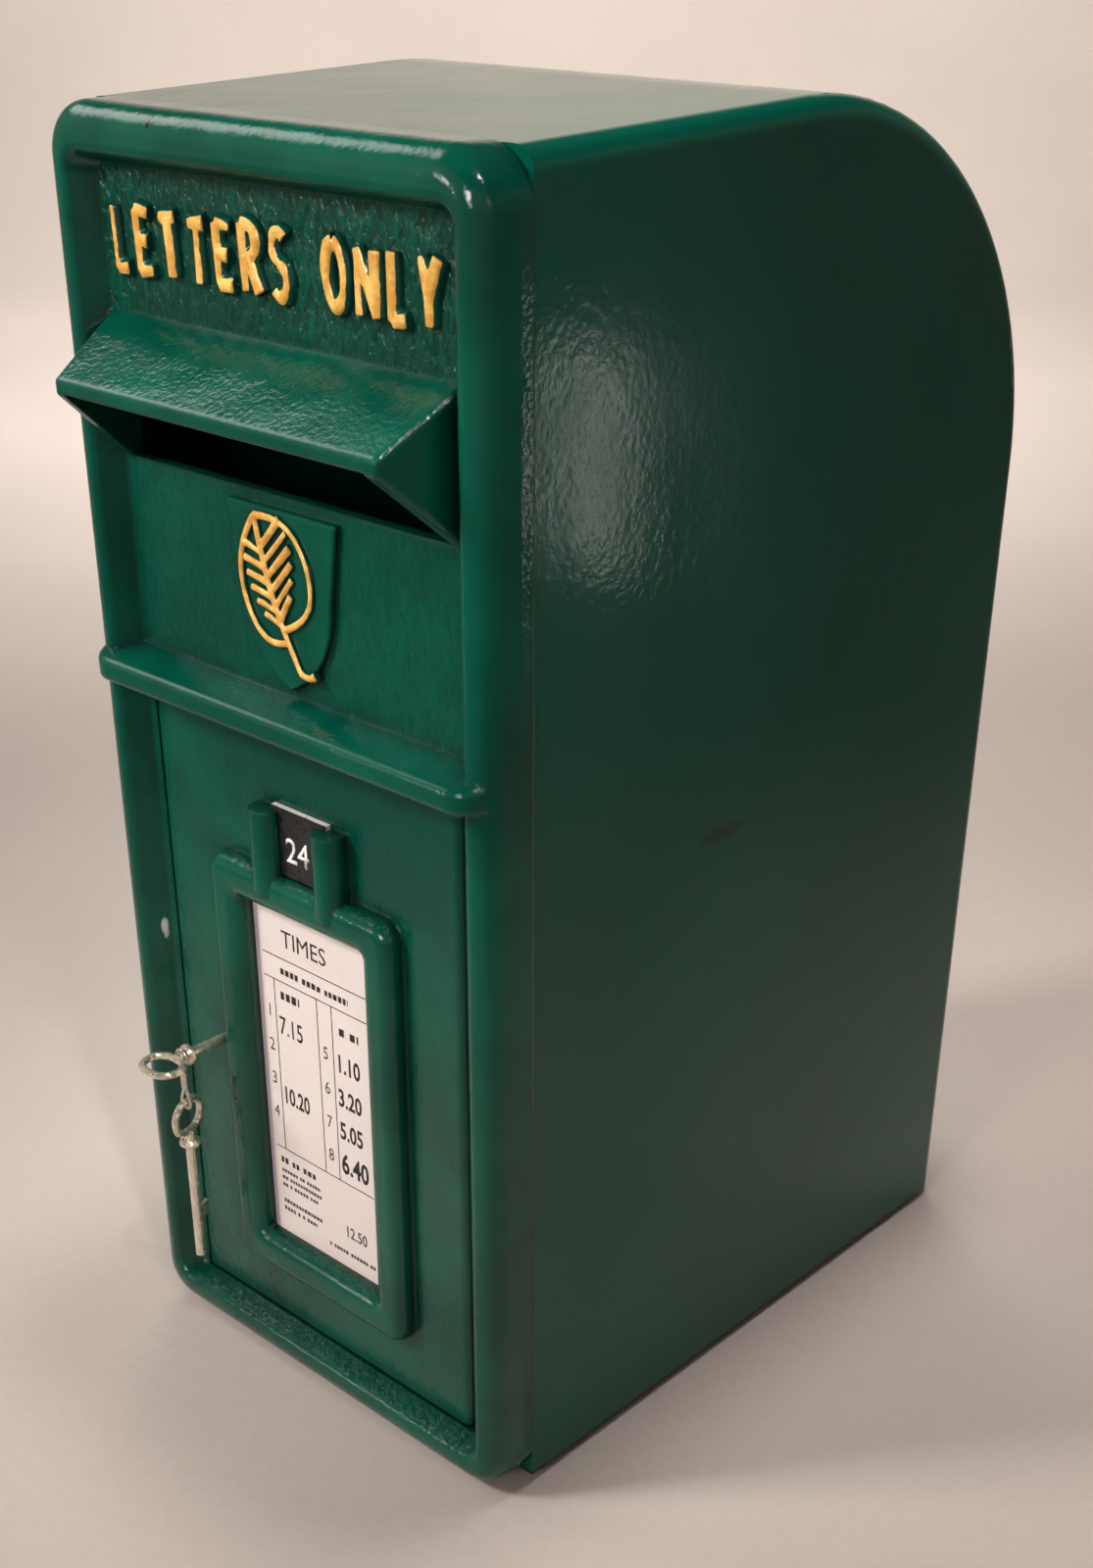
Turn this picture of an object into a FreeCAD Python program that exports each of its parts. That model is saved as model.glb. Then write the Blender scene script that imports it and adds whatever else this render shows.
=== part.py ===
import FreeCAD, Part
import math
import os
from FreeCAD import Vector

# Letter box: a cast front with a hooded slot and a hinged door, on a deep sheet body with a curved back.
# Millimetres. While modelling, y = 0 is the front of the rim with y going inwards, x = 0 is the middle,
# and z = 0 is the lower edge of the casting. At the end all pieces move to the part's own origin,
# which is on the floor under the middle of the whole part, key included.

# Whole box
width = 250.0
height = 583.0
depth = 365.0
foot_gap = 3.0

# Front casting
flange_depth = 25.0
flange_wall = 6.0
corner_radius = 21.0
rim_round = 11.0
side_draft = 2.5
rim_width = 14.0
top_rim = 18.0
bottom_rim = 16.0
crest_round = 5.0
recess_depth = 12.0
side_lean = 8.5
end_lean = 4.5
rim_corner = 9.0
recess_corner = 4.0
panel_thickness = 6.0
panel_fillet = 2.5

# Hood over the letter slot
hood_top = 506.0
hood_bottom = 442.0
hood_root_inset = 20.5
hood_lip_inset = 29.5
hood_reach = 25.0
hood_lip_top = 482.0
hood_lip_thickness = 6.0
hood_wall = 6.5
hood_round = 2.4
slot_bottom = 445.0

# Ledge between the panel and the door
ledge_top = 356.5
ledge_thickness = 10.5
ledge_inset = 3.5
ledge_reach = 7.5
ledge_end_radius = 14.0
ledge_round = 3.2
weathering_rise = 5.0

# Plaque under the slot
plaque_half = 33.0
plaque_top = 440.0
plaque_height = 75.0
plaque_straight = 34.0
plaque_lean = 5.0
plaque_raise = 3.0
plaque_round = 1.2

# Door
door_inset = 27.5
door_bottom = 22.0
door_top = 336.0
door_thickness = 6.0
door_edge_round = 5.5
door_gap = 1.5
hinge_side_gap = 2.5
stop_width = 7.0
stop_clearance = 1.0
stop_short = 65.0
stop_band = 5.0

# Door hinge
pivot_inset = 6.0
pivot_behind = 1.0
pin_radius = 2.5
pin_clearance = 0.05
knuckle_radius = 6.0
knuckle_length = 34.0
lug_radius = 5.5
lug_length = 14.0
lug_gap = 0.4

# Notice frame on the door
notice_inset = 57.0
notice_bottom = 73.5
notice_top = 256.5
moulding_width = 20.0
moulding_height = 9.5
moulding_outer_round = 7.0
moulding_inner_round = 8.5
moulding_corner = 10.0
moulding_inner_corner = 1.5

# Notice card and its backing
card_margin = 3.5
card_thickness = 0.8
card_clearance = 0.5
card_seat = 0.8
clip_length = 14.0
clip_width = 9.0
clip_thickness = 1.5
clip_overlap = 4.0
clip_from_end = 14.0
clip_screw_radius = 1.5
clip_head_radius = 2.8
clip_head_height = 1.6
clip_screw_depth = 3.0

# Tab holder above the notice frame
post_centre = 20.7
post_radius = 8.0
post_height = 11.5
post_top = 307.0
tab_half = 18.0
tab_thickness = 3.0
tab_clearance = 0.25
tab_seat = 0.3
tab_above_posts = 2.0

# Lock on the back of the door
key_inset = 31.5
key_z = 172.5
lock_inset = 7.0
lock_width = 43.5
lock_below = 14.0
lock_above = 24.0
lock_wall = 1.2
lock_depth = 18.0
cap_thickness = 1.2
cap_ear = 8.0
lock_screw_radius = 1.6
lock_screw_head = 3.0
lock_screw_depth = 4.0
lock_screw_inset = 4.5
screw_clearance = 0.05
keyhole_radius = 3.0
bolt_front = 26.0
bolt_thickness = 5.0
bolt_low = 3.3
bolt_height = 12.8
bolt_proud = 0.5
bolt_tail = 15.0
bolt_clearance = 0.3
talon_start = 5.0
talon_width = 7.4
talon_height = 6.6
stump_radius = 1.2
stump_x = 8.0
stump_z = 13.4
lever_gap = 0.6
lever_thickness = 1.8
lever_belly = 8.8
lever_height = 10.7
lever_left = 22.0
lever_right = 17.3
lever_pivot_x = 15.0
lever_pivot_z = 14.0
lever_pivot_radius = 1.8
lever_shoulder_radius = 3.0
lever_shoulder_gap = 0.2
window_left = 18.5
window_right = 6.0
window_low = 10.8
window_high = 16.2
spring_thickness = 0.5
spring_foot = 6.0
spring_length = 20.0
spring_rise = 1.3

# Keys and the wire link between them
key_shank_radius = 2.5
key_shank_length = 64.5
key_collar_radius = 5.2
key_collar_length = 4.0
key_neck_radius = 2.6
key_neck_length = 3.0
bow_length = 19.5
bow_width = 24.0
bow_band = 3.6
bow_thickness = 3.2
bow_chamfer = 1.0
bow_flat = 0.3
key_pilot = 16.5
bit_reach = 9.0
bit_thickness = 2.4
bit_length = 7.2
wire_radius = 0.8
spare_turn = 18.0
wire_gap = 0.3
link_length = 25.0
twist_length = 8.0
twist_radius = 1.6

# Sheet body
sheet = 1.5
body_inset = 0.6
body_lift = 1.5
back_radius = 170.0
body_crown = 7.5
body_edge_round = 9.0
front_return = 19.0
wall_hole_radius = 4.25
wall_hole_inset = 50.0
wall_hole_low = 90.0
wall_hole_high = 370.0

# Screws between body and casting
boss_radius = 7.0
boss_inset = 12.0
boss_end_inset = 10.5
boss_low = 60.0
boss_middle = 290.0
boss_high = 520.0
boss_end_x = 60.0
body_screw_radius = 3.0
body_screw_grip = 9.0
body_screw_head = 5.0
body_screw_head_height = 3.4

# Rubber feet
foot_radius = 12.0
foot_taper = 2.0
foot_inset_x = 30.0
foot_inset_front = 35.0
foot_inset_back = 32.0

# Values that follow from the sizes above
half = width / 2
hood_root_half = half - hood_root_inset
hood_lip_half = half - hood_lip_inset
ledge_half = half - ledge_inset
door_half = half - door_inset
key_x = key_inset - door_half
lock_left = lock_inset - door_half
lock_right = lock_left + lock_width
stop_end = half - stop_short
wall_hole_x = half - wall_hole_inset
panel_back = recess_depth + panel_thickness
door_back = recess_depth + door_thickness
opening_left = -door_half - door_gap
opening_right = door_half + hinge_side_gap
opening_bottom = door_bottom - door_gap
opening_top = door_top + door_gap
pivot_x = door_half - pivot_inset
pivot_y = door_back + pivot_behind
lock_front = door_back + cap_thickness
lock_back = lock_front + lock_depth
bit_back = bolt_front + bolt_thickness + lever_gap + lever_thickness
key_tip = lock_back + key_pilot
neck_start = key_shank_length + key_collar_length
bow_start = neck_start + key_neck_length
link_y = key_tip - neck_start - key_neck_length / 2
card_back = recess_depth + card_seat + card_thickness
notice_half = door_half - notice_inset
frame_half = notice_half + moulding_width
frame_bottom = notice_bottom - moulding_width
frame_top = notice_top + moulding_width
overrun = 1.0
flush = 0.0001
origin_y = (depth + key_tip - bow_start - bow_length) / 2


def block(x0, x1, y0, y1, z0, z1):
    return Part.makeBox(x1 - x0, y1 - y0, z1 - z0, Vector(x0, y0, z0))


def rod_y(x, z, y0, y1, radius):
    return Part.makeCylinder(radius, y1 - y0, Vector(x, y0, z), Vector(0, 1, 0))


def rod_z(x, y, z0, z1, radius):
    return Part.makeCylinder(radius, z1 - z0, Vector(x, y, z0), Vector(0, 0, 1))


def round_rectangle(x0, x1, z0, z1, radius, y):
    """Upright rectangle with round corners, as a closed wire at depth y."""
    turn = radius * (1 - math.sqrt(0.5))
    corners = [
        (Vector(x0, y, z0 + radius), Vector(x0 + turn, y, z0 + turn), Vector(x0 + radius, y, z0)),
        (Vector(x1 - radius, y, z0), Vector(x1 - turn, y, z0 + turn), Vector(x1, y, z0 + radius)),
        (Vector(x1, y, z1 - radius), Vector(x1 - turn, y, z1 - turn), Vector(x1 - radius, y, z1)),
        (Vector(x0 + radius, y, z1), Vector(x0 + turn, y, z1 - turn), Vector(x0, y, z1 - radius)),
    ]
    edges = []
    for index, corner in enumerate(corners):
        edges.append(Part.Arc(*corner).toShape())
        following = corners[(index + 1) % len(corners)]
        edges.append(Part.makeLine(corner[2], following[0]))
    return Part.Wire(edges)


def slab(x0, x1, y0, y1, z0, z1, radius):
    """Plate with round corners, standing upright between depths y0 and y1."""
    return Part.Face(round_rectangle(x0, x1, z0, z1, radius, y0)).extrude(Vector(0, y1 - y0, 0))


def rectangle(x_half, z0, z1, y):
    points = [
        Vector(-x_half, y, z0),
        Vector(x_half, y, z0),
        Vector(x_half, y, z1),
        Vector(-x_half, y, z1),
    ]
    return Part.makePolygon(points + points[:1])


def prism(points, direction):
    return Part.Face(Part.makePolygon(points + points[:1])).extrude(direction)


def edges_at_depth(shape, y):
    """Edges that lie wholly at depth y."""
    return [edge for edge in shape.Edges
            if abs(edge.BoundBox.YMin - y) < flush and abs(edge.BoundBox.YMax - y) < flush]


def recess():
    """Dished recess of the front: its walls lean in from the rim to the panel."""
    def outline(y):
        lean = y / recess_depth
        side = half - rim_width - side_lean * lean
        low = bottom_rim + end_lean * lean
        high = height - top_rim - end_lean * lean
        corner = rim_corner + (recess_corner - rim_corner) * lean
        return round_rectangle(-side, side, low, high, corner, y)
    return Part.makeLoft([outline(-overrun), outline(recess_depth)], True, True)


def hood():
    """Hood with slanted roof and flared cheeks, and the letter way cut through it."""
    root = recess_depth + panel_thickness / 2
    lip_low = hood_lip_top - hood_lip_thickness
    outer = Part.makeLoft([rectangle(hood_root_half, hood_bottom, hood_top, root),
                           rectangle(hood_lip_half, lip_low, hood_lip_top, -hood_reach)], True, True)
    shown = [edge for edge in outer.Edges if edge.BoundBox.YMin < root - overrun]
    return outer.makeFillet(hood_round, shown)


def letter_way():
    lip_low = hood_lip_top - hood_lip_thickness
    inner_root = rectangle(hood_root_half - hood_wall, slot_bottom, hood_top - hood_wall, panel_back + overrun)
    inner_lip = rectangle(hood_lip_half - hood_wall, slot_bottom, lip_low, -hood_reach - overrun)
    return Part.makeLoft([inner_root, inner_lip], True, True)


def ledge():
    """Bull-nosed sill across the rim, round at both ends, its top sloping up to the panel."""
    back = recess_depth + panel_thickness / 2
    low = ledge_top - ledge_thickness
    turn = ledge_end_radius * (1 - math.sqrt(0.5))
    straight = ledge_half - ledge_end_radius
    start = ledge_end_radius - ledge_reach
    left_end = [Vector(-ledge_half, start, low), Vector(-ledge_half + turn, turn - ledge_reach, low),
                Vector(-straight, -ledge_reach, low)]
    right_end = [Vector(straight, -ledge_reach, low), Vector(ledge_half - turn, turn - ledge_reach, low),
                 Vector(ledge_half, start, low)]
    back_left = Vector(-ledge_half, back, low)
    back_right = Vector(ledge_half, back, low)
    plan = [
        Part.makeLine(back_right, back_left),
        Part.makeLine(back_left, left_end[0]),
        Part.Arc(*left_end).toShape(),
        Part.makeLine(left_end[2], right_end[0]),
        Part.Arc(*right_end).toShape(),
        Part.makeLine(right_end[2], back_right),
    ]
    rise = weathering_rise / (recess_depth + ledge_reach)
    back_top = ledge_top + rise * (back + ledge_reach)
    sill = Part.Face(Part.Wire(plan)).extrude(Vector(0, 0, back_top - low))
    above = prism([Vector(-half, -ledge_reach - overrun, ledge_top - rise * overrun),
                   Vector(-half, back + overrun, back_top + rise * overrun),
                   Vector(-half, back + overrun, back_top + weathering_rise + overrun),
                   Vector(-half, -ledge_reach - overrun, back_top + weathering_rise + overrun)], Vector(width, 0, 0))
    sill = sill.cut(above)
    nose = [edge for edge in sill.Edges
            if edge.BoundBox.YMin < start - overrun and edge.BoundBox.XLength > overrun]
    return sill.makeFillet(ledge_round, nose)


def plaque():
    """Shield-shaped boss: leaning shoulders, then two arcs that meet at the foot."""
    front = recess_depth - plaque_raise
    back = recess_depth + panel_thickness / 2
    shoulder = plaque_top - plaque_straight
    foot = plaque_top - plaque_height
    waist = plaque_half - plaque_lean
    drop = shoulder - foot
    sweep = (waist ** 2 + drop ** 2) / (2 * waist)
    angle = math.asin(drop / sweep) / 2
    bulge_x = waist - sweep * (1 - math.cos(angle))
    bulge_z = shoulder - sweep * math.sin(angle)
    point = Vector(0, front, foot)
    edges = [
        Part.makeLine(Vector(-waist, front, shoulder), Vector(-plaque_half, front, plaque_top)),
        Part.makeLine(Vector(-plaque_half, front, plaque_top), Vector(plaque_half, front, plaque_top)),
        Part.makeLine(Vector(plaque_half, front, plaque_top), Vector(waist, front, shoulder)),
        Part.Arc(Vector(waist, front, shoulder), Vector(bulge_x, front, bulge_z), point).toShape(),
        Part.Arc(point, Vector(-bulge_x, front, bulge_z), Vector(-waist, front, shoulder)).toShape(),
    ]
    boss = Part.Face(Part.Wire(edges)).extrude(Vector(0, back - front, 0))
    return boss.makeFillet(plaque_round, edges_at_depth(boss, front))


def boss_places():
    """Where the screws between body and casting stand, as (x, z)."""
    side = half - boss_inset
    places = [(sign * side, level) for sign in (-1, 1) for level in (boss_low, boss_middle, boss_high)]
    ends = (boss_end_inset, height - boss_end_inset)
    return places + [(sign * boss_end_x, level) for sign in (-1, 1) for level in ends]


def door_stop():
    """Rebate lip behind the door on three sides; the hinge side stays open."""
    outer = block(opening_left - stop_band, stop_end, panel_back - overrun, flange_depth,
                  opening_bottom - stop_band, opening_top + stop_band)
    inner = block(opening_left + stop_width, stop_end + overrun, 0, flange_depth + overrun,
                  opening_bottom + stop_width, opening_top - stop_width)
    swing_room = block(opening_left, stop_end + overrun, 0, door_back + stop_clearance,
                       opening_bottom, opening_top)
    return outer.cut(inner).cut(swing_room)


def hinge_lugs():
    """Bosses above and below the door that hold the two hinge pins."""
    lugs = []
    for low in (opening_top + lug_gap, opening_bottom - lug_gap - lug_length):
        barrel = rod_z(pivot_x, pivot_y, low, low + lug_length, lug_radius)
        web = block(pivot_x - lug_radius, pivot_x + lug_radius, panel_back - overrun, pivot_y, low, low + lug_length)
        lugs.append(barrel.fuse(web))
    return lugs


def front_casting():
    face = half - side_draft
    front = Part.makeLoft([round_rectangle(-face, face, 0, height, corner_radius, 0),
                           round_rectangle(-half, half, 0, height, corner_radius, panel_back)], True, True)
    front = front.makeFillet(rim_round, edges_at_depth(front, 0))
    front = front.cut(recess())
    inner = half - rim_width + overrun
    crest = [edge for edge in edges_at_depth(front, 0)
             if abs(edge.CenterOfMass.x) < inner and bottom_rim - overrun < edge.CenterOfMass.z < height - top_rim + overrun]
    front = front.makeFillet(crest_round, crest)
    front = front.makeFillet(panel_fillet, edges_at_depth(front, recess_depth))
    flange = slab(-half, half, panel_back, flange_depth, 0, height, corner_radius)
    flange = flange.cut(slab(-half + flange_wall, half - flange_wall, 0, flange_depth + overrun,
                             flange_wall, height - flange_wall, corner_radius - flange_wall))
    bosses = [rod_y(x, z, panel_back - overrun, flange_depth, boss_radius) for x, z in boss_places()]
    front = front.cut(block(opening_left, opening_right, 0, panel_back + overrun, opening_bottom, opening_top))
    front = front.fuse([flange, door_stop(), hood(), ledge(), plaque()] + hinge_lugs() + bosses)
    pin_holes = rod_z(pivot_x, pivot_y, opening_bottom - lug_gap - lug_length, opening_top + lug_gap + lug_length,
                      pin_radius + screw_clearance)
    screw_holes = [rod_y(x, z, flange_depth - body_screw_grip, flange_depth + overrun,
                         body_screw_radius + screw_clearance) for x, z in boss_places()]
    return front.cut([letter_way(), pin_holes] + screw_holes).removeSplitter()


def notice_moulding():
    """Rounded moulding that frames the notice."""
    front = recess_depth - moulding_height
    ring = slab(-frame_half, frame_half, front, recess_depth, frame_bottom, frame_top, moulding_corner)
    ring = ring.makeFillet(moulding_outer_round, edges_at_depth(ring, front))
    way = slab(-notice_half, notice_half, front - overrun, recess_depth + overrun, notice_bottom, notice_top,
               moulding_inner_corner)
    ring = ring.cut(way)
    inner = [edge for edge in edges_at_depth(ring, front) if abs(edge.CenterOfMass.x) < notice_half + overrun
             and notice_bottom - overrun < edge.CenterOfMass.z < notice_top + overrun]
    return ring.makeFillet(moulding_inner_round, inner)


def tab_posts():
    """Two round-fronted posts that rise from the notice frame and hold the tab between them."""
    shape_front = recess_depth - post_height + post_radius
    low = notice_top + moulding_width / 2
    posts = []
    for side in (-1, 1):
        x = side * post_centre
        round_front = rod_z(x, shape_front, low, post_top, post_radius)
        back = block(x - post_radius, x + post_radius, shape_front, recess_depth + overrun, low, post_top)
        posts.append(round_front.fuse(back).cut(block(x - post_radius - overrun, x + post_radius + overrun,
                                                      recess_depth + overrun, door_back + post_radius, low, post_top)))
    return posts


def keyhole(y0, y1):
    """Round hole for the shank with a slot below it that lets the bit through."""
    slot_half = bit_thickness / 2 + keyhole_radius - key_shank_radius
    slot = block(key_x - slot_half, key_x + slot_half, y0, y1, key_z - bit_reach - slot_half, key_z)
    return rod_y(key_x, key_z, y0, y1, keyhole_radius).fuse(slot)


def clip_places():
    """Where the clips behind the notice stand: the pocket's edge on each side, near both ends."""
    edge = notice_half + card_margin + card_clearance
    levels = (notice_bottom + clip_from_end, notice_top - clip_from_end)
    return [(side, side * edge, level) for side in (-1, 1) for level in levels]


def clip_screw_x(side, edge):
    return edge + side * (clip_length - clip_overlap) / 2


def lock_screw_places():
    lower = key_z - lock_below - cap_ear / 2
    upper = key_z + lock_above + cap_ear / 2
    return [(x, z) for x in (lock_left + lock_screw_inset, lock_right - lock_screw_inset) for z in (lower, upper)]


def door_knuckles():
    knuckles = []
    for low in (door_bottom, door_top - knuckle_length):
        knuckles.append(rod_z(pivot_x, pivot_y, low, low + knuckle_length, knuckle_radius))
    return knuckles


def door():
    plate = block(-door_half, door_half, recess_depth, door_back, door_bottom, door_top)
    swinging_edge = [edge for edge in edges_at_depth(plate, recess_depth) if edge.CenterOfMass.x > door_half - overrun]
    plate = plate.makeFillet(door_edge_round, swinging_edge)
    solid = plate.fuse([notice_moulding()] + tab_posts() + door_knuckles())
    edge_x = notice_half + card_margin + card_clearance
    pocket = slab(-edge_x, edge_x, recess_depth + card_seat, door_back + overrun,
                  notice_bottom - card_margin - card_clearance, notice_top + card_margin + card_clearance,
                  moulding_inner_corner)
    way = slab(-notice_half, notice_half, 0, door_back, notice_bottom, notice_top, moulding_inner_corner)
    tab_slot = block(-tab_half - tab_clearance, tab_half + tab_clearance,
                     recess_depth - tab_thickness - 2 * tab_clearance, recess_depth,
                     frame_top + tab_seat - overrun, post_top + overrun)
    cuts = [pocket, way, tab_slot, keyhole(recess_depth - overrun, door_back + overrun),
            rod_z(pivot_x, pivot_y, door_bottom - overrun, door_top + overrun, pin_radius + pin_clearance)]
    for x, z in lock_screw_places():
        cuts.append(rod_y(x, z, door_back - lock_screw_depth, door_back + overrun, lock_screw_radius + screw_clearance))
    for side, edge, level in clip_places():
        cuts.append(rod_y(clip_screw_x(side, edge), level, door_back - clip_screw_depth, door_back + overrun,
                          clip_screw_radius + screw_clearance))
    return solid.cut(cuts).removeSplitter()


def hinge_pin(lug_low, knuckle_low):
    low = min(lug_low, knuckle_low)
    high = max(lug_low + lug_length, knuckle_low + knuckle_length)
    return rod_z(pivot_x, pivot_y, low, high, pin_radius)


def notice_card():
    edge_x = notice_half + card_margin
    front = recess_depth + card_seat
    return slab(-edge_x, edge_x, front, front + card_thickness, notice_bottom - card_margin, notice_top + card_margin,
                moulding_inner_corner)


def backing_board():
    edge_x = notice_half + card_margin
    return slab(-edge_x, edge_x, card_back, door_back, notice_bottom - card_margin, notice_top + card_margin,
                moulding_inner_corner)


def board_clips():
    clips = []
    for side, edge, level in clip_places():
        ends = sorted((edge - side * clip_overlap, edge + side * (clip_length - clip_overlap)))
        strip = slab(ends[0], ends[1], door_back, door_back + clip_thickness, level - clip_width / 2,
                     level + clip_width / 2, clip_thickness)
        hole = rod_y(clip_screw_x(side, edge), level, door_back - overrun, door_back + clip_thickness + overrun,
                     clip_screw_radius + screw_clearance)
        clips.append(strip.cut(hole))
    return Part.makeCompound(clips)


def screw(x, z, start, seat, radius, head_radius, head_height):
    """Screw along y: shank from start to the seat, head behind the seat with a cross slot."""
    shank = rod_y(x, z, start, seat, radius)
    head = rod_y(x, z, seat, seat + head_height, head_radius)
    slot = block(x - head_radius, x + head_radius, seat + head_height / 2, seat + head_height + overrun,
                 z - head_radius / 6, z + head_radius / 6)
    return shank.fuse(head.cut(slot))


def clip_screws():
    seat = door_back + clip_thickness
    return Part.makeCompound([screw(clip_screw_x(side, edge), level, door_back - clip_screw_depth, seat,
                                    clip_screw_radius, clip_head_radius, clip_head_height)
                              for side, edge, level in clip_places()])


def number_tab():
    back = recess_depth - tab_clearance
    return block(-tab_half, tab_half, back - tab_thickness, back, frame_top + tab_seat, post_top + tab_above_posts)


def lock_cap():
    plate = slab(lock_left, lock_right, door_back, lock_front, key_z - lock_below - cap_ear,
                 key_z + lock_above + cap_ear, cap_thickness)
    holes = [rod_y(x, z, door_back - overrun, lock_front + overrun, lock_screw_radius + screw_clearance)
             for x, z in lock_screw_places()]
    return plate.cut([keyhole(door_back - overrun, lock_front + overrun)] + holes)


def lock_case():
    """Open tray with a window for the bolt, a bearing for the key's end and the lever's pivot."""
    low = key_z - lock_below
    high = key_z + lock_above
    tray = block(lock_left, lock_right, lock_front, lock_back, low, high)
    tray = tray.cut(block(lock_left + lock_wall, lock_right - lock_wall, lock_front - overrun, lock_back - lock_wall,
                          low + lock_wall, high - lock_wall))
    window = block(lock_left - overrun, lock_left + lock_wall + overrun, bolt_front - bolt_clearance,
                   bolt_front + bolt_thickness + bolt_clearance, key_z + bolt_low - bolt_clearance,
                   key_z + bolt_low + bolt_height + bolt_clearance)
    inside = lock_back - lock_wall
    bearing = rod_y(key_x, key_z, inside - overrun, lock_back + overrun, key_shank_radius + pin_clearance)
    lever_front = bolt_front + bolt_thickness + lever_gap
    pivot = rod_y(key_x + lever_pivot_x, key_z + lever_pivot_z, lever_front, inside + overrun, lever_pivot_radius)
    shoulder = rod_y(key_x + lever_pivot_x, key_z + lever_pivot_z,
                     lever_front + lever_thickness + lever_shoulder_gap, inside + overrun, lever_shoulder_radius)
    return tray.cut([window, bearing]).fuse([pivot, shoulder]).removeSplitter()


def lock_bolt():
    """Flat bolt with a talon notch for the key's bit and a stump for the lever."""
    low = key_z + bolt_low
    bar = block(lock_left - bolt_proud, key_x + bolt_tail, bolt_front, bolt_front + bolt_thickness,
                low, low + bolt_height)
    talon = block(key_x + talon_start, key_x + talon_start + talon_width, bolt_front - overrun,
                  bolt_front + bolt_thickness + overrun, low - overrun, low + talon_height)
    back = bolt_front + bolt_thickness
    stump = rod_y(key_x - stump_x, key_z + stump_z, back - overrun, back + lever_gap + lever_thickness, stump_radius)
    return bar.cut(talon).fuse(stump)


def lock_lever():
    front = bolt_front + bolt_thickness + lever_gap
    back = front + lever_thickness
    plate = slab(key_x - lever_left, key_x + lever_right, front, back, key_z + lever_belly,
                 key_z + lever_belly + lever_height, lever_thickness)
    window = slab(key_x - window_left, key_x - window_right, front - overrun, back + overrun, key_z + window_low,
                  key_z + window_high, stump_radius)
    hole = rod_y(key_x + lever_pivot_x, key_z + lever_pivot_z, front - overrun, back + overrun,
                 lever_pivot_radius + pin_clearance)
    return plate.cut([window, hole])


def lever_spring():
    """Leaf on the lever's top edge: a flat foot, then an arm that rises towards the case."""
    front = bolt_front + bolt_thickness + lever_gap
    seat = key_z + lever_belly + lever_height
    foot_end = key_x + lever_pivot_x
    bend = foot_end - spring_foot
    tip = bend - spring_length
    return prism([Vector(foot_end, front, seat),
                  Vector(foot_end, front, seat + spring_thickness),
                  Vector(bend, front, seat + spring_thickness),
                  Vector(tip, front, seat + spring_rise + spring_thickness),
                  Vector(tip, front, seat + spring_rise),
                  Vector(bend, front, seat)], Vector(0, lever_thickness, 0))


def lock_screws():
    return Part.makeCompound([screw(x, z, door_back - lock_screw_depth, lock_front, lock_screw_radius,
                                    lock_screw_head, lock_screw_radius) for x, z in lock_screw_places()])


def plain_key():
    """Pin key along +z: tip at z = 0, bit towards +x, oval bow at the far end."""
    shank = rod_z(0, 0, 0, bow_start + bow_band / 2, key_shank_radius)
    bit = block(0, bit_reach, -bit_thickness / 2, bit_thickness / 2, key_tip - bit_back, key_tip - bit_back + bit_length)
    collar = rod_z(0, 0, key_shank_length, neck_start, key_collar_radius)
    collar = collar.makeChamfer(key_collar_length / 3, [edge for edge in collar.Edges if edge.BoundBox.ZLength < flush])
    neck = rod_z(0, 0, neck_start, bow_start + bow_band / 2, key_neck_radius)
    side = bow_width / 2
    face = bow_thickness / 2
    bow_end = bow_start + bow_length
    bow = slab(-side, side, -face, face, bow_start, bow_end, bow_length / 2 - bow_flat)
    eye_radius = bow_length / 2 - bow_band - bow_flat
    bow = bow.cut(slab(bow_band - side, side - bow_band, -face - overrun, face + overrun, bow_start + bow_band,
                       bow_end - bow_band, eye_radius))
    bow = bow.makeChamfer(bow_chamfer, edges_at_depth(bow, -face) + edges_at_depth(bow, face))
    return shank.fuse([bit, collar, neck, bow]).removeSplitter()


def key():
    """Key in the lock, turned so that its bow lies level and its bit points right."""
    shape = plain_key()
    shape.rotate(Vector(0, 0, 0), Vector(1, 0, 0), 90)
    shape.translate(Vector(key_x, key_tip, key_z))
    return shape


def spare_key():
    """Spare key hanging by its bow in the link's lower loop."""
    shape = plain_key()
    shape.rotate(Vector(0, 0, 0), Vector(0, 0, 1), 90 + spare_turn)
    top_of_band = bow_start + bow_length - bow_band / 2
    shape.translate(Vector(key_x, link_y, key_z - link_length - top_of_band))
    return shape


def wire_loop(centre, radius, knot):
    """Round wire from the knot over a circle and back, tangent to it on both sides."""
    reach = centre.z - knot.z
    side = math.copysign(1, reach)
    lean = math.asin(radius / abs(reach))
    touch_z = centre.z - side * radius * math.sin(lean)
    left = Vector(centre.x - radius * math.cos(lean), centre.y, touch_z)
    right = Vector(centre.x + radius * math.cos(lean), centre.y, touch_z)
    section = Part.Face(Part.Wire(Part.makeCircle(wire_radius, left, left - knot)))
    loop = section.revolve(centre, Vector(0, side, 0), 180 + 2 * math.degrees(lean))
    legs = [Part.makeCylinder(wire_radius, (end - knot).Length, knot, end - knot) for end in (left, right)]
    return loop.fuse(legs)


def key_link():
    """Wire tie: one loop on the key's neck, a twisted middle, one loop through the spare's bow."""
    upper = Vector(key_x, link_y, key_z)
    lower = Vector(key_x, link_y, key_z - link_length)
    middle = (upper.z + lower.z) / 2
    knot_up = Vector(key_x, link_y, middle + twist_length / 2 - twist_radius)
    knot_down = Vector(key_x, link_y, middle - twist_length / 2 + twist_radius)
    neck_loop = key_neck_radius + wire_gap + wire_radius
    bow_loop = math.hypot(bow_band, bow_thickness) / 2 + wire_radius
    twist = rod_z(key_x, link_y, middle - twist_length / 2, middle + twist_length / 2, twist_radius)
    return twist.fuse([wire_loop(upper, neck_loop, knot_up), wire_loop(lower, bow_loop, knot_down)])


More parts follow.
